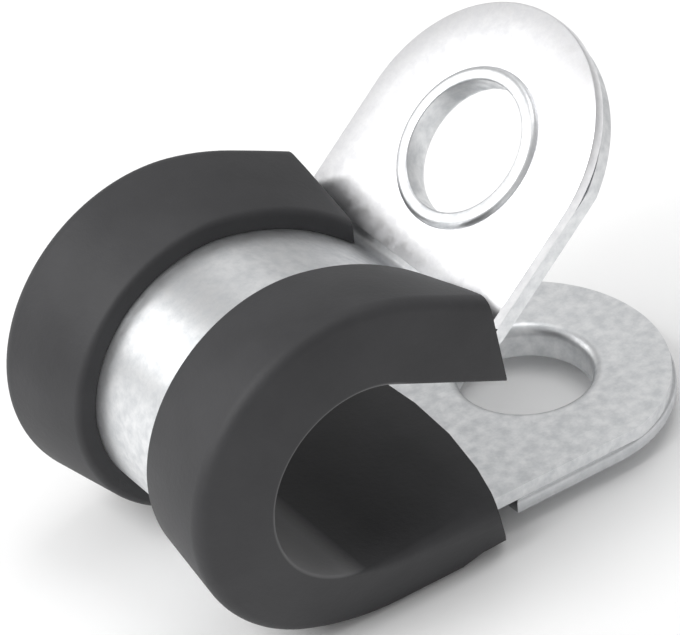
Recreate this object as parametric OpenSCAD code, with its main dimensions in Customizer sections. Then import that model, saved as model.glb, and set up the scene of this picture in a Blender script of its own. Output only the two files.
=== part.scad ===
// Rubber-lined pipe retaining P clip, open as delivered.
// A steel band is bent to a loop with two flat ears. Each ear carries a
// reinforcing plate, held by a collar that is drawn out of the band and rolled
// over the plate. A rubber channel wraps the band's edges and lines the loop.
// Y runs along the pipe, X from the loop to the ears, Z is up. The origin is
// the centre of the pipe's seat.

/* [Pipe] */
// Outside diameter of the pipe or cable that the clip holds
pipe_d = 8; // [7:0.5:9]
// Gap between the pipe and the liner, all round
pipe_gap = 0.08; // [0:0.02:0.2]

/* [Band] */
// Width of the steel band
band_w = 12; // [11.8:0.1:12.4]
// Thickness of the steel band
band_t = 0.6; // [0.5:0.05:0.7]
// Length of the flat leg, from the lower hole to the heel
leg_len = 11.15; // [10.8:0.05:12]
// Radius of the heel, where the band rises from the leg
heel_r = 10.1; // [9:0.1:12]
// Turn of the heel, in degrees
heel_deg = 22.7; // [20:0.1:25]
// How far the loop runs past its crown, in degrees
crown_deg = 10.8; // [8:0.1:13]
// Radius of the arm, between the loop and its straight end
arm_r = 10.3; // [9.5:0.1:11]
// Slope of the arm's straight end, in degrees
arm_deg = 39.7; // [38:0.1:41]
// Length of the arm's straight end
arm_len = 1.4; // [1.2:0.1:1.8]
// Radius of the bend between the arm and the ear, on the band's middle
bend_r = 0.76; // [0.6:0.02:1]

/* [Ears] */
// Angle between the ears
open_deg = 43; // [40:0.5:46]
// Distance from the bend to the centre of the upper hole
ear_root = 5.2; // [5.1:0.05:5.6]
// Diameter of the screw holes
hole_d = 5.5; // [5.2:0.1:5.6]
// How much larger the ear's end radius is than half the band's width
ear_end_extra = 0.2; // [0.05:0.05:0.4]
// Distance from the hole back to the centre of the ear's end radius
ear_end_back = 0.35; // [0.2:0.05:0.5]
// Rounding of the hole's entry, on the inner face of the ear
entry_r = 0.45; // [0.3:0.05:0.5]

/* [Collars] */
// Wall of the drawn collar
collar_t = 0.35; // [0.3:0.05:0.45]
// How far the collar's rim is rolled out over the plate
rim_w = 0.28; // [0.2:0.02:0.4]
// Height of the rolled rim over the plate
rim_h = 0.26; // [0.2:0.02:0.3]

/* [Reinforcing plates] */
// Thickness of the plates
plate_t = 0.6; // [0.5:0.05:0.7]
// Width of the plates
plate_w = 12.2; // [11.8:0.1:12.6]
// Distance from the hole to the plate's straight end
plate_root = 5; // [4.8:0.05:5.05]
// Rounding of the plate's upper rim, from blanking
plate_roll = 0.15; // [0.1:0.05:0.2]
// Clearance between the collar and the plate's hole
collar_gap = 0.04; // [0.02:0.02:0.1]

/* [Rubber channel] */
// Thickness of the liner inside the loop
liner_t = 0.95; // [0.8:0.05:1.1]
// Thickness of the liner where it ends on the arm
tail_liner_t = 0.25; // [0.2:0.05:0.4]
// Width of the channel at the pipe
liner_w = 15.26; // [14.9:0.02:15.6]
// Width of the channel at its outer edges
outer_w = 13.46; // [13.3:0.02:14]
// Height of the lips over the band, at the channel's outer edges
lip_outer_h = 1.48; // [1.3:0.02:1.6]
// Height of the lips over the band, along the slot
lip_slot_h = 0.83; // [0.75:0.01:1]
// Width of the slot between the lips
slot_w = 4.6; // [4:0.1:5.2]
// Rounding of the channel's outer edges
outer_round = 0.6; // [0.4:0.05:0.7]
// Rounding of the lips along the slot
slot_round = 0.3; // [0.1:0.05:0.4]
// Rounding of the liner's edges round the loop
liner_round = 0.2; // [0.1:0.05:0.3]
// Clearance between the band and the rubber
band_gap = 0.02; // [0.01:0.01:0.04]
// Rounding of the liner's edges where the channel ends on the leg
leg_round = 0.8; // [0.4:0.05:0.9]
// Distance from the lower hole to the middle of the channel's end on the leg
leg_end = 5.35; // [5.3:0.05:6]
// Radius of that end's curve, seen from above
leg_end_r = 17.8; // [14:0.2:24]
// Lean of that end, in degrees
leg_end_lean = 8; // [4:1:8]
// How far the channel's end on the arm reaches past the start of the ear bend
tail_past = 0.12; // [0:0.02:0.12]
// Least gap between that end and the upper plate
tail_gap = 0.3; // [0.1:0.05:0.5]

/* [Hidden] */
$fn = 96;

seat_r = pipe_d / 2 + pipe_gap;
// Radius of the loop on the band's middle
loop_r = seat_r + liner_t + band_t / 2;
hole_r = hole_d / 2;
collar_r = hole_r + collar_t;
stack_t = band_t + plate_t;
ear_end_r = band_w / 2 + ear_end_extra;
// How far a cutting solid passes what it cuts
past = 1;
// Turn between the flats that make up the band's and the channel's curves
band_step = 3;
channel_step = 5;
// The channel's inner face is drawn this much too thick, and bored to size
bore_allowance = 0.03;

// Heading is the way the band runs, in degrees up from +X: it leaves the lower
// ear at 180, rounds the loop and meets the upper ear at open_deg. Points are
// on the band's middle, in the side view.
function along(heading) = [cos(heading), sin(heading)];
function outward(heading) = [-sin(heading), cos(heading)];

heel_heading = 180 - heel_deg;
heel_end = loop_r * outward(heel_heading);
heel_centre = heel_end - heel_r * outward(heel_heading);
leg_start = heel_centre + heel_r * outward(180);
lower_hole = leg_start - leg_len * along(180);

arm_start = loop_r * outward(-crown_deg);
arm_centre = arm_start - arm_r * outward(-crown_deg);
arm_end = arm_centre + arm_r * outward(-arm_deg);
bend_start = arm_end + arm_len * along(-arm_deg);
bend_centre = bend_start + bend_r * outward(-arm_deg);
ear_start = bend_centre - bend_r * outward(open_deg);
upper_hole = ear_start + ear_root * along(open_deg);

// A station is a point of the band's middle with its heading there
function arc_stations(centre, radius, from, to, step) =
    let (count = ceil(abs(to - from) / step))
    [for (i = [0:count])
        let (heading = from + (to - from) * i / count)
        [centre + radius * outward(heading), heading]];

function shifted(stations, offset) =
    [for (s = stations) s[0] + offset * outward(s[1])];

function reversed(list) = [for (i = [len(list) - 1:-1:0]) list[i]];

// ---- Ears ----
// An ear is drawn with its hole on Z, its inner face at Z = 0 and its root
// towards -X.

module on_upper_ear() {
    inner = upper_hole - band_t / 2 * outward(open_deg);
    translate([inner[0], 0, inner[1]]) rotate([0, -open_deg, 0]) children();
}

module on_lower_ear() {
    translate([lower_hole[0], 0, lower_hole[1] + band_t / 2])
        mirror([0, 0, 1]) children();
}

// What the round end takes off the band
module ear_end_cutter() {
    length = ear_end_r + 2 * past;
    translate([-ear_end_back, 0, -past]) difference() {
        translate([0, -band_w / 2 - past, 0])
            cube([length, band_w + 2 * past, band_t + 2 * past]);
        translate([0, 0, -past]) cylinder(r = ear_end_r, h = band_t + 4 * past);
    }
}

// Screw hole with a flared entry on the ear's inner face
module hole_cutter() {
    translate([0, 0, -past]) cylinder(r = hole_r, h = stack_t + 3 * past);
    rotate_extrude() difference() {
        translate([0, -past]) square([hole_r + entry_r, entry_r + past]);
        translate([hole_r + entry_r, entry_r]) circle(r = entry_r);
    }
}

// The collar's wall through the plate, with its rim rolled out over the plate
module collar() {
    rim_r = collar_r + rim_w;
    rotate_extrude() union() {
        translate([hole_r / 2, band_t / 2]) square([collar_r - hole_r / 2, stack_t - band_t / 2]);
        translate([hole_r / 2, stack_t]) square([rim_r - rim_h - hole_r / 2, rim_h]);
        intersection() {
            translate([rim_r - rim_h, stack_t]) circle(r = rim_h);
            translate([rim_r - rim_h, stack_t]) square(rim_h);
        }
    }
}

// ---- Strap ----

// Side view of the band, its ears drawn past their round ends
module band_profile() {
    ear_len = band_w / 2 + past;
    stations = concat(
        [[lower_hole - ear_len * along(180), 180]],
        arc_stations(heel_centre, heel_r, 180, heel_heading, band_step),
        arc_stations([0, 0], loop_r, heel_heading, -crown_deg, band_step),
        arc_stations(arm_centre, arm_r, -crown_deg, -arm_deg, band_step),
        arc_stations(bend_centre, -bend_r, -arm_deg, open_deg, 2 * band_step),
        [[upper_hole + ear_len * along(open_deg), open_deg]]
    );
    polygon(concat(shifted(stations, band_t / 2), reversed(shifted(stations, -band_t / 2))));
}

module strap() {
    color("#d6d7d8") difference() {
        union() {
            rotate([90, 0, 0]) linear_extrude(band_w, center = true) band_profile();
            on_lower_ear() collar();
            on_upper_ear() collar();
        }
        on_lower_ear() hole_cutter();
        on_upper_ear() hole_cutter();
        on_lower_ear() ear_end_cutter();
        on_upper_ear() ear_end_cutter();
    }
}

// ---- Reinforcing plates ----

// Half section of the plate, with the rim rounded on the side at Z = 0
module plate_section() {
    half_w = plate_w / 2;
    difference() {
        square([half_w, plate_t]);
        translate([half_w - plate_roll, plate_roll]) difference() {
            translate([0, -plate_roll - past]) square([plate_roll + past, plate_roll + past]);
            circle(r = plate_roll);
        }
    }
}

// A plate on its ear: a straight stretch and a round end about the hole
module plate() {
    translate([0, 0, band_t]) difference() {
        union() {
            rotate([0, 0, -90]) rotate_extrude(angle = 180) plate_section();
            translate([-plate_root, 0, 0]) rotate([90, 0, 90])
                linear_extrude(plate_root) union() {
                    plate_section();
                    mirror([1, 0]) plate_section();
                }
        }
        translate([0, 0, -past]) cylinder(r = collar_r + collar_gap, h = plate_t + 2 * past);
    }
}

module upper_plate() {
    color("#f2f2f2") on_upper_ear() plate();
}

module lower_plate() {
    color("#b9babc") on_lower_ear() plate();
}

// ---- Rubber channel ----
// Its section is drawn at each station of the band: X is outward from the
// band's middle, Y is across the band.

// The channel ends at a plane across X on the arm, clear of the upper plate
plate_corner = upper_hole - plate_root * along(open_deg)
    + (band_t / 2 + plate_t) * outward(open_deg);
tail_x = min(bend_start[0] + tail_past, plate_corner[0] - tail_gap);

// On the arm the channel's edges run straight, while the band dips under them.
// The liner's face leaves the seat's circle at tail_deg below +X, and ends with
// the liner's tail thickness under the band.
tail_point = [
    tail_x,
    arm_end[1] - (tail_x - arm_end[0]) * tan(arm_deg)
        - (band_t / 2 + tail_liner_t) / cos(arm_deg)
];
tail_deg = 90 - atan2(tail_point[1], tail_point[0]) - acos(seat_r / norm(tail_point));

// Height over the band's middle, at a station on the arm, of the straight edge
// that leaves the loop at a radius
function tail_height(station, radius) =
    let (normal = outward(-tail_deg))
    (radius - station[0] * normal) / (outward(station[1]) * normal);

function edge_height(station, radius) =
    station[1] < -tail_deg || (station[1] < 0 && station[0][0] > arm_end[0])
        ? tail_height(station, radius)
        : radius - loop_r;

// The seat, drawn a little thick where it is bored
function inner_height(station) =
    let (bored = station[1] < heel_heading + 0.1 && station[1] > -tail_deg - 0.1)
    station[1] > heel_heading
        ? -(band_t / 2 + liner_t)
        : edge_height(station, seat_r) - (bored ? bore_allowance : 0);

// Points of a corner's rounding, from the edge towards a to the edge towards b
function rounding(a, corner, b, radius, count) =
    let (
        to_a = (a - corner) / norm(a - corner),
        to_b = (b - corner) / norm(b - corner),
        half = acos(to_a * to_b) / 2,
        centre = corner + (to_a + to_b) / norm(to_a + to_b) * radius / sin(half),
        start = corner + to_a * radius / tan(half) - centre,
        end = corner + to_b * radius / tan(half) - centre,
        turn = 180 - 2 * half,
        side = sign(start[0] * end[1] - start[1] * end[0])
    )
    [for (i = [0:count])
        let (angle = side * turn * i / count)
        centre + [
            start[0] * cos(angle) - start[1] * sin(angle),
            start[0] * sin(angle) + start[1] * cos(angle)
        ]];

// Half of the channel's section, from the liner's edge round the lip to the
// pocket that holds the band's edge
function half_section(inner, outer, edge_round) =
    let (
        lip = band_t / 2 + lip_slot_h,
        pocket_t = band_t / 2 + band_gap,
        pocket_w = band_w / 2 + band_gap,
        at_liner = [inner, liner_w / 2],
        at_outer = [outer, outer_w / 2],
        at_slot = [lip, slot_w / 2]
    )
    concat(
        rounding([inner, 0], at_liner, at_outer, edge_round, 3),
        rounding(at_liner, at_outer, at_slot, outer_round, 4),
        rounding(at_outer, at_slot, [0, slot_w / 2], slot_round, 2),
        [
            [pocket_t, slot_w / 2],
            [pocket_t, pocket_w],
            [-pocket_t, pocket_w]
        ]
    );

function full_section(inner, outer, edge_round) =
    let (half = half_section(inner, outer, edge_round))
    concat(half, reversed([for (p = half) [p[0], -p[1]]]));

// The liner's edges are sharp round the loop and open out along the leg
function liner_edge_round(station) =
    station[1] < 180
        ? liner_round
        : liner_round + (leg_round - liner_round)
            * min(1, (station[0][0] - leg_start[0]) / (leg_len - leg_end));

function channel_ring(station) =
    let (
        section = full_section(
            inner_height(station),
            edge_height(station, loop_r + band_t / 2 + lip_outer_h),
            liner_edge_round(station)
        ),
        out = outward(station[1])
    )
    [for (p = section) [
        station[0][0] + p[0] * out[0],
        p[1],
        station[0][1] + p[0] * out[1]
    ]];

// Solid through a list of rings with equally many points
module skin(rings) {
    count = len(rings[0]);
    last = (len(rings) - 1) * count;
    points = [for (ring = rings) each ring];
    sides = [for (i = [0:len(rings) - 2], j = [0:count - 1])
        let (k = (j + 1) % count)
        each [
            [i * count + j, i * count + k, (i + 1) * count + k],
            [i * count + j, (i + 1) * count + k, (i + 1) * count + j]
        ]];
    first_cap = [for (j = [count - 1:-1:0]) j];
    last_cap = [for (j = [0:count - 1]) last + j];
    polyhedron(points, concat([first_cap], sides, [last_cap]), convexity = 8);
}

module channel_body() {
    leg_run = leg_len - leg_end + past;
    tail_run = arm_len + past;
    stations = concat(
        [for (i = [3:-1:1]) [leg_start - leg_run * i / 3 * along(180), 180]],
        arc_stations(heel_centre, heel_r, 180, heel_heading, channel_step),
        arc_stations([0, 0], loop_r, heel_heading - channel_step, -crown_deg, channel_step),
        arc_stations(arm_centre, arm_r, -crown_deg - channel_step, -arm_deg, channel_step),
        [[arm_end + tail_run * along(-arm_deg), -arm_deg]]
    );
    skin([for (s = stations) channel_ring(s)]);
}

// The leg's end: bulged seen from above, and leaning out at the bottom
module leg_end_cutter() {
    height = 4 * (liner_t + lip_outer_h);
    translate([lower_hole[0] - leg_end, 0, lower_hole[1]]) rotate([0, -leg_end_lean, 0])
        difference() {
            translate([-3 * past, -liner_w, -height / 2]) cube([8 * past, 2 * liner_w, height]);
            translate([-leg_end_r, 0, -height])
                cylinder(r = leg_end_r, h = 2 * height, $fn = 180);
        }
}

module rubber_liner() {
    length = liner_w + 2 * past;
    color("#4a4a4b") difference() {
        channel_body();
        rotate([90, 0, 0]) cylinder(r = seat_r, h = length, center = true);
        leg_end_cutter();
        translate([tail_x, -length / 2, -loop_r]) cube([4 * past, length, 3 * loop_r]);
    }
}

strap();
rubber_liner();
upper_plate();
lower_plate();
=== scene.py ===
# %% [markdown]
# # A rubber-lined P clip
# The clip is a steel band bent to a loop with two flat ears. A rubber channel
# wraps the band, and a plate backs each ear. The CAD model gives every size
# and place; this script gives the four pieces clean, smooth meshes and real
# finishes, and lights them as in a small studio.

# %% The frame
import math

import bmesh
import bpy
from mathutils import Matrix, Vector


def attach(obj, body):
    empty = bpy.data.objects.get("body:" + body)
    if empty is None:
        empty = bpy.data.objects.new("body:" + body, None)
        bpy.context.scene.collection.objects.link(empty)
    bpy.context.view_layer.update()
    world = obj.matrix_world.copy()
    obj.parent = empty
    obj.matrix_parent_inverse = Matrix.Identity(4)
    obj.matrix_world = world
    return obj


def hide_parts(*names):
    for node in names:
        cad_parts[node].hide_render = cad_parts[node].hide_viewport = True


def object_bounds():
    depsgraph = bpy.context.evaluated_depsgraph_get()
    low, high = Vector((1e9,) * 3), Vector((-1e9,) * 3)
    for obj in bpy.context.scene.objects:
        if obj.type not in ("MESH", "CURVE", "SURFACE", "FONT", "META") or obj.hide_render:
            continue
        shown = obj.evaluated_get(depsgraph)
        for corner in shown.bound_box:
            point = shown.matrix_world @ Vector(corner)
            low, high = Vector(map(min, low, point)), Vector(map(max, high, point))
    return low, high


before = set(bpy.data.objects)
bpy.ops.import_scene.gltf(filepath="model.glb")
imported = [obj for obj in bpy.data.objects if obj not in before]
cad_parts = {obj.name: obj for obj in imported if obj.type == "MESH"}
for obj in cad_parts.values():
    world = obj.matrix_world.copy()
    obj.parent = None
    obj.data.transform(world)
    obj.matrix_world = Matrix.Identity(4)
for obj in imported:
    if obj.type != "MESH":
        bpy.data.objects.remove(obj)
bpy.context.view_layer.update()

# %% [markdown]
# ## Sizes
# The script works in millimetres, as the drawing of such a clip would, and
# each mesh is turned to metres once, when it becomes an object. The driving
# sizes are the CAD model's own.

# %% Sizes of the band and its way
MM = 0.001

BAND_W, BAND_T = 12.0, 0.6
SEAT_R = 4.08
LINER_T = 0.95
LOOP_R = SEAT_R + LINER_T + BAND_T / 2
LEG_LEN, HEEL_R, HEEL_DEG = 11.15, 10.1, 22.7
CROWN_DEG, ARM_R, ARM_DEG, ARM_LEN = 10.8, 10.3, 39.7, 1.4
BEND_R, OPEN_DEG, EAR_ROOT = 0.76, 43.0, 5.2

# %% Sizes of the ears, collars and plates
HOLE_R, ENTRY_R = 2.75, 0.45
COLLAR_T, RIM_W, RIM_H = 0.35, 0.28, 0.26
EAR_END_R, EAR_END_BACK = BAND_W / 2 + 0.2, 0.35
PLATE_T, PLATE_W, PLATE_ROOT = 0.6, 12.2, 5.0
COLLAR_GAP = 0.04
RING_STEPS = 120

# %% Sizes of the rubber channel
TAIL_LINER_T = 0.25
LINER_W, OUTER_W, SLOT_W = 15.26, 13.46, 4.6
LIP_OUTER_H, LIP_SLOT_H = 1.48, 0.83
OUTER_ROUND, SLOT_ROUND, LINER_ROUND, LEG_ROUND = 0.6, 0.3, 0.12, 0.8
BAND_GAP = 0.02
LEG_END, LEG_END_R, LEG_END_LEAN = 5.15, 19.5, 11.0
LEG_TAPER_FROM, LEG_TAPER_DEG = 8.2, 14.0
TAIL_PAST = 0.12

# %% [markdown]
# ## The band's way
# Seen from the side, the band leaves the lower ear, rises at the heel, rounds
# the loop and runs down the arm to the upper ear. Its *heading* is the way it
# runs, in degrees up from +X. Every arc meets the next one at one heading, so
# the whole way is smooth without any fitting.

# %% Headings and the points between the arcs
def along(heading):
    """Unit vector of a heading, in the side view."""
    a = math.radians(heading)
    return Vector((math.cos(a), 0, math.sin(a)))


def outward(heading):
    """Unit vector from the loop's inside to its outside."""
    a = math.radians(heading)
    return Vector((-math.sin(a), 0, math.cos(a)))


HEEL_HEADING = 180 - HEEL_DEG
heel_centre = (LOOP_R - HEEL_R) * outward(HEEL_HEADING)
leg_start = heel_centre + HEEL_R * outward(180)
lower_hole = leg_start - LEG_LEN * along(180)

arm_centre = (LOOP_R - ARM_R) * outward(-CROWN_DEG)
arm_end = arm_centre + ARM_R * outward(-ARM_DEG)
bend_start = arm_end + ARM_LEN * along(-ARM_DEG)
bend_centre = bend_start + BEND_R * outward(-ARM_DEG)
ear_start = bend_centre - BEND_R * outward(OPEN_DEG)
upper_hole = ear_start + EAR_ROOT * along(OPEN_DEG)
print("ear holes, mm:", lower_hole[:], upper_hole[:])

# %% [markdown]
# ## From a bmesh to a piece
# Every piece ends the same way: its doubles are merged, its faces turned
# outwards, its edges split into smooth and sharp ones, and it rides on the
# clip's one body in place of its CAD node.

# %% Finishing a piece
SMOOTH_DEG = 35
NEAR = 1e-4


def finish_piece(bm, name, node, material):
    """Makes the piece's object and lets it stand for its CAD node."""
    bmesh.ops.remove_doubles(bm, verts=bm.verts, dist=NEAR)
    bmesh.ops.recalc_face_normals(bm, faces=bm.faces)
    bmesh.ops.scale(bm, vec=(MM, MM, MM), verts=bm.verts)
    mesh = bpy.data.meshes.new(name)
    bm.to_mesh(mesh)
    bm.free()
    mesh.shade_smooth()
    mesh.set_sharp_from_angle(angle=math.radians(SMOOTH_DEG))
    mesh.materials.append(material)
    piece = bpy.data.objects.new(name, mesh)
    bpy.context.scene.collection.objects.link(piece)
    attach(piece, "root")
    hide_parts(node)
    print(name, len(mesh.polygons), "faces")


def sharp_edges(bm, degrees, test=lambda edge: True):
    """Edges whose faces meet at more than an angle, and that pass a test."""
    limit = math.radians(degrees)
    bm.normal_update()
    return [e for e in bm.edges
            if len(e.link_faces) == 2 and e.calc_face_angle(0) > limit and test(e)]


def soften(bm, edges, width, segments=2):
    """Rounds edges by a bevel."""
    bmesh.ops.bevel(bm, geom=edges, offset=width, offset_type="OFFSET",
                    segments=segments, profile=0.5, affect="EDGES",
                    clamp_overlap=True, material=-1)

# %% [markdown]
# ## Materials
# A finish is read from three things: its colour, how it spreads a reflection,
# and the small unevenness that breaks a reflection up. Zinc plating is a bright
# metal with a soft mottled grain. The rubber is a moulded black EPDM, which is
# never quite black: it has a thin grey bloom and fine pits.

# %% Colour and node helpers
def srgb(code):
    """Linear colour of an sRGB hex value such as "c8c9cb"."""
    def linear(value):
        return value / 12.92 if value <= 0.04045 else ((value + 0.055) / 1.055) ** 2.4
    return [linear(int(code[i:i + 2], 16) / 255) for i in (0, 2, 4)] + [1.0]


def add_node(tree, kind, links=None, **settings):
    """Adds a node, sets its settings or inputs, and links inputs from outputs."""
    node = tree.nodes.new(kind)
    for key, value in settings.items():
        if hasattr(node, key):
            setattr(node, key, value)
        else:
            node.inputs[key.replace("_", " ")].default_value = value
    for key, output in (links or {}).items():
        tree.links.new(output, node.inputs[key])
    return node


def new_material(name):
    """A material with a bare Principled shader, its tree and the shader."""
    material = bpy.data.materials.new(name)
    material.use_nodes = True
    tree = material.node_tree
    shader = tree.nodes["Principled BSDF"]
    return material, tree, shader

# %% Zinc plating
ZINC_GRAIN_MM = 0.5
ZINC_SCRATCH_MM = 0.12


def zinc_plating(name, pale, dark, roughness, seed):
    """Bright zinc plating on cold-rolled steel: mottled, with a fine grain."""
    material, tree, shader = new_material(name)
    place = add_node(tree, "ShaderNodeTexCoord").outputs["Object"]
    moved = add_node(tree, "ShaderNodeMapping", {"Vector": place}, Location=(seed, 0, 0))
    moved = moved.outputs["Vector"]
    mottle = add_node(tree, "ShaderNodeTexNoise", {"Vector": moved},
                      Scale=1 / (ZINC_GRAIN_MM * MM), Detail=5.0, Roughness=0.6)
    fine = add_node(tree, "ShaderNodeTexNoise", {"Vector": moved},
                    Scale=1 / (ZINC_SCRATCH_MM * MM), Detail=3.0, Roughness=0.7)
    ramp = add_node(tree, "ShaderNodeValToRGB", {"Fac": mottle.outputs["Fac"]})
    ramp.color_ramp.elements[0].position = 0.35
    ramp.color_ramp.elements[0].color = srgb(dark)
    ramp.color_ramp.elements[1].position = 0.65
    ramp.color_ramp.elements[1].color = srgb(pale)
    tree.links.new(ramp.outputs["Color"], shader.inputs["Base Color"])
    rough = add_node(tree, "ShaderNodeMapRange", {"Value": mottle.outputs["Fac"]})
    rough.inputs["From Min"].default_value = 0.3
    rough.inputs["From Max"].default_value = 0.7
    rough.inputs["To Min"].default_value = roughness + 0.06
    rough.inputs["To Max"].default_value = roughness - 0.06
    tree.links.new(rough.outputs["Result"], shader.inputs["Roughness"])
    coarse_bump = add_node(tree, "ShaderNodeBump", {"Height": mottle.outputs["Fac"]},
                           Strength=0.25, Distance=0.008 * MM)
    fine_bump = add_node(tree, "ShaderNodeBump",
                         {"Height": fine.outputs["Fac"], "Normal": coarse_bump.outputs["Normal"]},
                         Strength=0.3, Distance=0.008 * MM)
    tree.links.new(fine_bump.outputs["Normal"], shader.inputs["Normal"])
    shader.inputs["Metallic"].default_value = 1.0
    return material


band_zinc = zinc_plating("zinc_plated_band", "e9eaeb", "d4d6d8", 0.40, 0.0)
# Both plates have the band's zinc. The upper plate's paler tones are a painted highlight and the
# lower plate's darker tones are painted shade, as lit and shaded copies of one finish.
upper_zinc_painted_highlight = zinc_plating("zinc_upper_plate_painted_highlight", "f4f4f5", "e6e6e8", 0.36, 0.013)
lower_zinc_painted_shade = zinc_plating("zinc_lower_plate_painted_shade", "d6d7d9", "c9cbcd", 0.38, 0.029)

# %% EPDM rubber
RUBBER_PIT_MM = 0.25
RUBBER_CLOUD_MM = 3.0


def epdm_rubber(name):
    """Moulded black EPDM rubber: a matt grey-black with a soft cloudy bloom, and painted light in
    the bore.
    """
    material, tree, shader = new_material(name)
    place = add_node(tree, "ShaderNodeTexCoord").outputs["Object"]
    cloud = add_node(tree, "ShaderNodeTexNoise", {"Vector": place},
                     Scale=1 / (RUBBER_CLOUD_MM * MM), Detail=4.0, Roughness=0.55)
    pits = add_node(tree, "ShaderNodeTexNoise", {"Vector": place},
                    Scale=1 / (RUBBER_PIT_MM * MM), Detail=4.0, Roughness=0.65)
    ramp = add_node(tree, "ShaderNodeValToRGB", {"Fac": cloud.outputs["Fac"]})
    ramp.color_ramp.elements[0].position = 0.3
    ramp.color_ramp.elements[0].color = srgb("2a2a2c")
    ramp.color_ramp.elements[1].position = 0.7
    ramp.color_ramp.elements[1].color = srgb("333335")
    # The bore is painted paler: painted light that brightens the shaded inside of the bore
    across = add_node(tree, "ShaderNodeVectorMath", {"Vector": place},
                      operation="MULTIPLY")
    across.inputs[1].default_value = (1, 0, 1)
    reach = add_node(tree, "ShaderNodeVectorMath", {"Vector": across.outputs["Vector"]},
                     operation="LENGTH")
    bore_light_mask = add_node(tree, "ShaderNodeMapRange", {"Value": reach.outputs["Value"]})
    bore_light_mask.inputs["From Min"].default_value = (SEAT_R + 0.15) * MM
    bore_light_mask.inputs["From Max"].default_value = (SEAT_R + 0.02) * MM
    bore_painted_light = add_node(tree, "ShaderNodeMix", {"Factor": bore_light_mask.outputs["Result"]},
                    data_type="RGBA")
    tree.links.new(ramp.outputs["Color"], bore_painted_light.inputs[6])
    # Paler grey of the painted light inside the bore
    bore_painted_light.inputs[7].default_value = srgb("6c6c6d")
    tree.links.new(bore_painted_light.outputs[2], shader.inputs["Base Color"])
    bump = add_node(tree, "ShaderNodeBump", {"Height": pits.outputs["Fac"]},
                    Strength=0.5, Distance=0.03 * MM)
    tree.links.new(bump.outputs["Normal"], shader.inputs["Normal"])
    shader.inputs["Roughness"].default_value = 0.6
    shader.inputs["IOR"].default_value = 1.5
    return material


rubber = epdm_rubber("moulded_epdm_rubber")

# %% [markdown]
# ## Reinforcing plates
# A plate is blanked from sheet: flat, with a round end about the hole. A circle
# is made for the hole, its edges are extruded and the new ring is moved out to
# the plate's outline. Thickness is one more extrusion. Blanking pulls the edge
# over on one side, so the rim gets a wide soft bevel there and a narrow one on
# the other.

# %% Outline of an ear or plate, seen along its hole
def outline_point(angle, half_w, root, end_r, end_back):
    """Where a ray from the hole's centre leaves the outline."""
    c, s = math.cos(angle), math.sin(angle)
    hits = [half_w / abs(s)] if abs(s) > 1e-9 else []
    if c < 0:
        hits.append(root / -c)
    else:
        b = c * end_back
        hits.append(-b + math.sqrt(b * b + end_r ** 2 - end_back ** 2))
    reach = min(hits)
    return Vector((reach * c, reach * s, 0))


def spread_ring(bm, ring, half_w, root, end_r, end_back):
    """Extrudes a ring of edges about the hole out to the outline."""
    z = next(iter(ring)).verts[0].co.z
    made = bmesh.ops.extrude_edge_only(bm, edges=ring)["geom"]
    verts = [v for v in made if isinstance(v, bmesh.types.BMVert)]
    for v in verts:
        angle = math.atan2(v.co.y, v.co.x)
        v.co = outline_point(angle, half_w, root, end_r, end_back) + Vector((0, 0, z))
    for side in (-1, 1):
        corner = Vector((-root, side * half_w, z))
        min(verts, key=lambda v: (v.co - corner).length).co = corner
    return [e for e in made if isinstance(e, bmesh.types.BMEdge)]


# %% One plate, in its ear's own frame
ROLL_W, FAR_EDGE_W = 0.16, 0.05


def plate_mesh():
    """A plate with its hole on Z, its band side at the band's outer face."""
    bm = bmesh.new()
    bmesh.ops.create_circle(bm, radius=HOLE_R + COLLAR_T + COLLAR_GAP, segments=RING_STEPS)
    bmesh.ops.translate(bm, vec=(0, 0, BAND_T), verts=bm.verts)
    spread_ring(bm, list(bm.edges), PLATE_W / 2, PLATE_ROOT, PLATE_W / 2, 0.0)
    made = bmesh.ops.extrude_face_region(bm, geom=list(bm.faces))["geom"]
    top = [v for v in made if isinstance(v, bmesh.types.BMVert)]
    bmesh.ops.translate(bm, vec=(0, 0, PLATE_T), verts=top)
    bmesh.ops.recalc_face_normals(bm, faces=bm.faces)

    def on_rim(z):
        return lambda e: all(abs(v.co.z - z) < 1e-6 and v.co.xy.length > 4 for v in e.verts)
    soften(bm, sharp_edges(bm, 60, on_rim(BAND_T)), ROLL_W, 4)
    soften(bm, sharp_edges(bm, 60, on_rim(BAND_T + PLATE_T)), FAR_EDGE_W, 2)
    return bm


def ear_place(upper):
    """Matrix from an ear's own frame to the clip's, in millimetres."""
    if upper:
        inner = upper_hole - BAND_T / 2 * outward(OPEN_DEG)
        turn = Matrix.Rotation(math.radians(-OPEN_DEG), 4, "Y")
        return Matrix.Translation(inner) @ turn
    inner = lower_hole + Vector((0, 0, BAND_T / 2))
    return Matrix.Translation(inner) @ Matrix.Diagonal((1, 1, -1, 1))


for name, upper, slot, finish in (
        ("upper_plate_steel", True, "upper_plate_zinc", upper_zinc_painted_highlight),
        ("lower_plate_steel", False, "lower_plate_zinc", lower_zinc_painted_shade)):
    bm = plate_mesh()
    bmesh.ops.transform(bm, matrix=ear_place(upper), verts=bm.verts)
    finish_piece(bm, name, name.replace("_steel", ""), finish)

# %% [markdown]
# ## Strap
# The band, its ears and their collars are one piece of steel. Each collar is
# half a section turned round the hole with spin. From its two open rings the
# ear's inner and outer faces are spread to the outline. The loop itself is the
# ear's root edge, spun round each arc's centre in turn.

# %% Section of the collar
ROUND_STEPS = 6
MOUTH_ROUND = 0.08


def arc_points(centre, radius, start, end, steps):
    """Points on an arc in the XZ plane, in degrees."""
    return [Vector((centre[0] + radius * math.cos(math.radians(a)), 0,
                    centre[1] + radius * math.sin(math.radians(a))))
            for a in (start + (end - start) * i / steps for i in range(steps + 1))]


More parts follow.
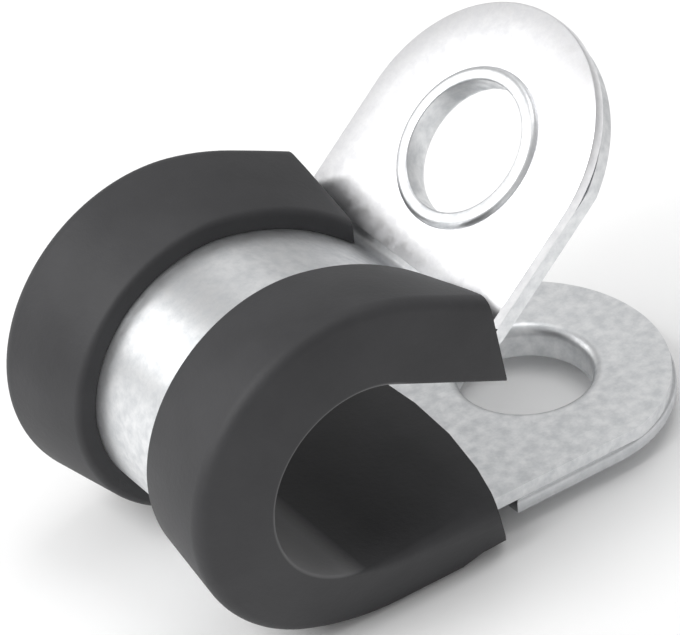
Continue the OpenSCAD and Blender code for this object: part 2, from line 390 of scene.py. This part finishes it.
def collar_section():
    """Half section from the ear's inner face, through the hole, to its outer face."""
    stack = BAND_T + PLATE_T
    collar_r = HOLE_R + COLLAR_T
    rim_r = collar_r + RIM_W
    entry = arc_points((HOLE_R + ENTRY_R, ENTRY_R), ENTRY_R, 270, 180, ROUND_STEPS)
    mouth = arc_points((HOLE_R + MOUTH_ROUND, stack + RIM_H - MOUTH_ROUND), MOUTH_ROUND,
                       180, 90, 3)
    roll = arc_points((rim_r - RIM_H, stack), RIM_H, 90, 0, ROUND_STEPS)
    foot = [Vector((collar_r, 0, stack)), Vector((collar_r, 0, BAND_T))]
    return entry + mouth + roll + foot


def wire(bm, points):
    """A line of edges through points."""
    verts = [bm.verts.new(p) for p in points]
    return verts, [bm.edges.new(pair) for pair in zip(verts, verts[1:])]

# %% One ear with its collar
def ear_mesh(bm):
    """Adds an ear in its own frame, and gives its vertices."""
    old = set(bm.verts)
    verts, edges = wire(bm, collar_section())
    first, last = verts[0].co.copy(), verts[-1].co.copy()
    bmesh.ops.spin(bm, geom=verts + edges, cent=(0, 0, 0), axis=(0, 0, 1), dvec=(0, 0, 0),
                   angle=2 * math.pi, steps=RING_STEPS, use_merge=True)
    mine = [v for v in bm.verts if v not in old]
    bmesh.ops.remove_doubles(bm, verts=mine, dist=NEAR)
    mine = {v for v in bm.verts if v not in old}

    def ring(at):
        reach = math.hypot(at.x, at.y)
        return [e for e in bm.edges if all(
            v in mine and abs(v.co.z - at.z) < NEAR and abs(v.co.xy.length - reach) < NEAR
            for v in e.verts)]
    sides = [spread_ring(bm, ring(at), BAND_W / 2, EAR_ROOT, EAR_END_R, EAR_END_BACK)
             for at in (first, last)]
    rims = [[e for e in side if len(e.link_faces) == 1
             and not all(abs(v.co.x + EAR_ROOT) < 1e-5 for v in e.verts)] for side in sides]
    bmesh.ops.bridge_loops(bm, edges=rims[0] + rims[1])
    return [v for v in bm.verts if v not in old]

# %% The strap
ARC_STEP_DEG = 2.0


def run_arc(bm, edges, centre, degrees):
    """Spins a loop of edges round a centre, seen from the side, and gives the new loop."""
    steps = max(2, math.ceil(abs(degrees) / ARC_STEP_DEG))
    made = bmesh.ops.spin(bm, geom=edges, cent=centre, axis=(0, 1, 0), dvec=(0, 0, 0),
                          angle=math.radians(degrees), steps=steps)
    return [g for g in made["geom_last"] if isinstance(g, bmesh.types.BMEdge)]


def run_straight(bm, edges, step):
    """Extrudes a loop of edges by a step, and gives the new loop."""
    made = bmesh.ops.extrude_edge_only(bm, edges=edges)["geom"]
    verts = [v for v in made if isinstance(v, bmesh.types.BMVert)]
    bmesh.ops.translate(bm, vec=step, verts=verts)
    return [g for g in made if isinstance(g, bmesh.types.BMEdge)]


def strap_mesh():
    """Both ears, and the band spun and extruded between them."""
    bm = bmesh.new()
    lower = ear_mesh(bm)
    bmesh.ops.transform(bm, matrix=ear_place(False), verts=lower)
    root_x = lower_hole.x - EAR_ROOT
    loop = [e for e in bm.edges if all(abs(v.co.x - root_x) < NEAR for v in e.verts)]
    upper = ear_mesh(bm)
    bmesh.ops.transform(bm, matrix=ear_place(True), verts=upper)
    loop = run_straight(bm, loop, leg_start - (lower_hole - EAR_ROOT * along(0)))
    loop = run_arc(bm, loop, heel_centre, HEEL_DEG)
    loop = run_arc(bm, loop, (0, 0, 0), HEEL_HEADING + CROWN_DEG)
    loop = run_arc(bm, loop, arm_centre, ARM_DEG - CROWN_DEG)
    loop = run_straight(bm, loop, ARM_LEN * along(-ARM_DEG))
    run_arc(bm, loop, bend_centre, -(ARM_DEG + OPEN_DEG))
    bmesh.ops.remove_doubles(bm, verts=bm.verts, dist=2 * NEAR)
    bmesh.ops.recalc_face_normals(bm, faces=bm.faces)
    return bm


bm = strap_mesh()
print("strap open edges:", sum(1 for e in bm.edges if len(e.link_faces) != 2))
finish_piece(bm, "strap_steel", "strap", band_zinc)

# %% [markdown]
# ## Rubber channel
# The channel is an extruded C-section, pushed over the band. Round the loop it
# is squeezed at the pipe, so its sides lean in towards the outside. On the arm
# it stays straighter than the band, and on the leg its inner edges open out.
# One section is extruded from station to station, and each new ring is set to
# the section that belongs there.

# %% The channel's section
def rounding(a, corner, b, radius, steps):
    """Points of a rounded corner, from the side of a to the side of b."""
    to_a, to_b = (a - corner).normalized(), (b - corner).normalized()
    half = to_a.angle(to_b) / 2
    centre = corner + (to_a + to_b).normalized() * radius / math.sin(half)
    start = corner + to_a * radius / math.tan(half) - centre
    end = corner + to_b * radius / math.tan(half) - centre
    turn = math.pi - 2 * half
    side = 1 if start.x * end.y - start.y * end.x > 0 else -1
    return [centre + Matrix.Rotation(side * turn * i / steps, 2) @ start
            for i in range(steps + 1)]


LINER_ROWS = (-5, -2.5, 0, 2.5, 5)


def channel_section(inner, outer, edge_round):
    """Closed C-section: X is outward from the band's middle, Y across it."""
    lip = BAND_T / 2 + LIP_SLOT_H
    pocket_t, pocket_w = BAND_T / 2 + BAND_GAP, BAND_W / 2 + BAND_GAP
    at_liner = Vector((inner, LINER_W / 2))
    at_outer = Vector((outer, OUTER_W / 2))
    at_slot = Vector((lip, SLOT_W / 2))
    half = (rounding(Vector((inner, 0)), at_liner, at_outer, edge_round, 6)
            + rounding(at_liner, at_outer, at_slot, OUTER_ROUND, 8)
            + rounding(at_outer, at_slot, Vector((0, SLOT_W / 2)), SLOT_ROUND, 4)
            + [Vector((pocket_t, SLOT_W / 2)), Vector((pocket_t, pocket_w)),
               Vector((-pocket_t, pocket_w))])
    across = [Vector((inner, y)) for y in LINER_ROWS]
    return half + [Vector((p.x, -p.y)) for p in reversed(half)] + across


# %% The leg's end
def leg_end_x(p):
    """Where the leg's end lies, at a point's place across and up."""
    bulge = LEG_END_R - math.sqrt(LEG_END_R ** 2 - p.y ** 2)
    lean = (lower_hole.z - p.z) * math.tan(math.radians(LEG_END_LEAN))
    return lower_hole.x - LEG_END - bulge + lean


# %% Stations along the channel
CHANNEL_STEP_DEG = 2.5
tail_x = bend_start.x + TAIL_PAST
tail_end = Vector((tail_x, 0, arm_end.z - (tail_x - arm_end.x) * math.tan(math.radians(ARM_DEG))))
tail_point = tail_end - Vector((0, 0, (BAND_T / 2 + TAIL_LINER_T) / math.cos(math.radians(ARM_DEG))))
TAIL_DEG = 90 - math.degrees(math.atan2(tail_point.z, tail_point.x)
                             + math.acos(SEAT_R / tail_point.length))
print("the channel runs straight from", round(TAIL_DEG, 2), "degrees past the crown")


def arc_stations(centre, radius, start, end):
    """Points and headings on an arc of the band's way."""
    steps = max(1, round(abs(end - start) / CHANNEL_STEP_DEG))
    turns = [start + (end - start) * i / steps for i in range(steps + 1)]
    return [(centre + radius * outward(h), h) for h in turns]


END_ROOM = 0.5
ARM_RUNS = (1.1, 2.2)


def channel_stations():
    """Every station: along the leg, round the heel and the loop, down the arm."""
    leg_run = leg_end_x(Vector((0, LINER_W / 2, lower_hole.z))) - END_ROOM - leg_start.x
    taper_run = LEG_LEN - LEG_TAPER_FROM
    legs = [(leg_start - run * along(180), 180.0)
            for run in (leg_run, taper_run, taper_run / 2)]
    tail = [(arm_end + run * along(-ARM_DEG), -ARM_DEG) for run in ARM_RUNS]
    return (legs + arc_stations(heel_centre, HEEL_R, 180, HEEL_HEADING)
            + arc_stations(Vector(), LOOP_R, HEEL_HEADING, -CROWN_DEG)[1:]
            + arc_stations(arm_centre, ARM_R, -CROWN_DEG, -ARM_DEG)[1:] + tail)


def straight_height(point, heading, centre, radius):
    """Height over the band of the straight edge that leaves a circle at TAIL_DEG."""
    normal = outward(-TAIL_DEG)
    return (radius - (point - centre).dot(normal)) / outward(heading).dot(normal)


def inner_height(point, heading):
    """The liner's face: round the seat first, and straight along the arm after it."""
    if heading > -CROWN_DEG:
        return -(BAND_T / 2 + LINER_T)
    out = outward(heading)
    rise = point.dot(out)
    to_seat = SEAT_R ** 2 - point.length_squared + rise ** 2
    round_height = math.sqrt(max(0, to_seat)) - rise
    if to_seat > 0 and (point + out * round_height).dot(along(-TAIL_DEG)) < 0:
        return round_height
    return straight_height(point, heading, Vector(), SEAT_R)


def outer_height(point, heading):
    """The channel's outer edge: level over the band, then straight along the arm."""
    level = BAND_T / 2 + LIP_OUTER_H
    if heading == 180:
        past_taper = max(0, point.x - (lower_hole.x - LEG_TAPER_FROM))
        return level - past_taper * math.tan(math.radians(LEG_TAPER_DEG))
    if heading > -TAIL_DEG:
        return level
    return straight_height(point, heading, arm_centre, ARM_R + level)


# The liner's edges open out along the leg, from one X to the other
OPENS_FROM = -1.0
OPENED_BY = lower_hole.x - LEG_END - 2


def station_ring(point, heading):
    """The section's points at a station, in the clip's frame."""
    share = 0.0
    if heading > HEEL_HEADING:
        share = min(1, max(0, (point.x - OPENS_FROM) / (OPENED_BY - OPENS_FROM)))
    edge_round = LINER_ROUND + (LEG_ROUND - LINER_ROUND) * share
    section = channel_section(inner_height(point, heading), outer_height(point, heading),
                              edge_round)
    out = outward(heading)
    return [point + out * p.x + Vector((0, p.y, 0)) for p in section]


# %% The channel
TAPER_MARGIN = 0.05
END_ROUND = 0.12


def channel_mesh():
    """The channel, from its end on the leg round to its end on the arm."""
    bm = bmesh.new()
    stations = channel_stations()
    rings = [station_ring(p, h) for p, h in stations[:1] + stations]
    taper = math.tan(math.radians(LEG_TAPER_DEG))
    tapered_below = lower_hole.z - BAND_T / 2 - LIP_SLOT_H - TAPER_MARGIN
    for p in rings[0]:
        at = p.x
        p.x = leg_end_x(p)
        if p.z < tapered_below:
            p.z += (p.x - at) * taper
    verts = [bm.verts.new(p) for p in rings[0]]
    edges = [bm.edges.new((a, b)) for a, b in zip(verts, verts[1:] + verts[:1])]
    bmesh.ops.triangle_fill(bm, edges=edges, use_beauty=True)
    for ring in rings[1:]:
        made = bmesh.ops.extrude_edge_only(bm, edges=edges)["geom"]
        edges = [g for g in made if isinstance(g, bmesh.types.BMEdge)]
        verts = [g for g in made if isinstance(g, bmesh.types.BMVert)]
        for v, p in zip(verts, ring):
            v.co = p
    above = [v for v in bm.verts if v.co.z > 0]
    arm = above + [g for g in list(bm.edges) + list(bm.faces)
                   if all(v.co.z > 0 for v in g.verts)]
    cut = bmesh.ops.bisect_plane(bm, geom=arm, dist=NEAR / 10, plane_co=(tail_x, 0, 0),
                                 plane_no=(1, 0, 0), clear_outer=True)["geom_cut"]
    edges = [g for g in cut if isinstance(g, bmesh.types.BMEdge)]
    bmesh.ops.triangle_fill(bm, edges=edges, use_beauty=True)
    return bm


# %% Softened edges at both ends
LEG_RIM_REACH, ARM_RIM_REACH = 0.02, 0.005

bm = channel_mesh()
bmesh.ops.recalc_face_normals(bm, faces=bm.faces)
leg_rim = sharp_edges(bm, SMOOTH_DEG, lambda e: all(
    abs(v.co.x - leg_end_x(v.co)) < LEG_RIM_REACH and v.co.z < 0 for v in e.verts))
arm_rim = sharp_edges(bm, SMOOTH_DEG, lambda e: all(
    abs(v.co.x - tail_x) < ARM_RIM_REACH and v.co.z > 0 for v in e.verts))
soften(bm, leg_rim + arm_rim, END_ROUND)
print("channel open edges:", sum(1 for e in bm.edges if len(e.link_faces) != 2))
finish_piece(bm, "rubber_channel", "rubber_liner", rubber)

# %% [markdown]
# ## Studio
# A white floor, a bright even surround and large soft lamps: metal shows only
# what it reflects, so each ear needs a pale panel where its mirror points.

# %% Floor
FLOOR_HALF_M = 1.5
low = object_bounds()[0]
floor_mesh = bpy.data.meshes.new("floor")
bm = bmesh.new()
bmesh.ops.create_grid(bm, x_segments=1, y_segments=1, size=FLOOR_HALF_M)
bmesh.ops.translate(bm, vec=(0, 0, low.z), verts=bm.verts)
bm.to_mesh(floor_mesh)
bm.free()
floor = bpy.data.objects.new("floor", floor_mesh)
bpy.context.scene.collection.objects.link(floor)
floor_paint, tree, shader = new_material("matt_white_paper")
shader.inputs["Base Color"].default_value = srgb("ffffff")
shader.inputs["Roughness"].default_value = 0.9
floor_mesh.materials.append(floor_paint)

# %% Surround and lamps
world = bpy.data.worlds.new("studio")
bpy.context.scene.world = world
world.use_nodes = True
world.node_tree.nodes["Background"].inputs["Color"].default_value = (1, 1, 1, 1)
world.node_tree.nodes["Background"].inputs["Strength"].default_value = 0.5


def soft_lamp(name, direction, distance, size, power):
    """A square lamp that shines at the clip from a direction."""
    data = bpy.data.lights.new(name, "AREA")
    data.shape = "SQUARE"
    data.size = size
    data.energy = power
    lamp = bpy.data.objects.new(name, data)
    way = Vector(direction).normalized()
    lamp.location = way * distance
    lamp.rotation_mode = "QUATERNION"
    lamp.rotation_quaternion = way.to_track_quat("Z", "Y")
    bpy.context.scene.collection.objects.link(lamp)
    return lamp


soft_lamp("upper_ear_panel", (-0.56, 0.68, 0.47), 0.30, 0.16, 0.13)
soft_lamp("lower_ear_panel", (0.43, 0.68, 0.60), 0.30, 0.14, 0.02)
soft_lamp("key", (-0.75, 0.05, 0.75), 0.35, 0.2, 0.75)
soft_lamp("crown_lamp", (0.25, 0.1, 1.0), 0.35, 0.2, 0.25)

# %% [markdown]
# ## Camera
# A long lens from well back keeps the clip's far side nearly as large as its
# near side, as in a catalogue picture.

# %% Camera
CAMERA_PLACE = Vector((-92.457, -151.152, 132.942)) * MM
CAMERA_AZIMUTH, CAMERA_ELEVATION, CAMERA_ROLL = 32.604, 36.235, -4.92
az, el = math.radians(CAMERA_AZIMUTH), math.radians(CAMERA_ELEVATION)
view = Vector((math.sin(az) * math.cos(el), math.cos(az) * math.cos(el), -math.sin(el)))
camera_data = bpy.data.cameras.new("camera")
camera_data.sensor_width = 36
camera_data.lens = 302.8
camera_data.shift_x, camera_data.shift_y = 0.0058, -0.0013
camera_data.clip_start, camera_data.clip_end = 0.01, 5
camera = bpy.data.objects.new("camera", camera_data)
bpy.context.scene.collection.objects.link(camera)
camera.location = CAMERA_PLACE
camera.rotation_mode = "QUATERNION"
roll = Matrix.Rotation(math.radians(CAMERA_ROLL), 4, "Z").to_quaternion()
camera.rotation_quaternion = view.to_track_quat("-Z", "Y") @ roll
bpy.context.scene.camera = camera
bpy.context.scene.view_settings.view_transform = "Standard"
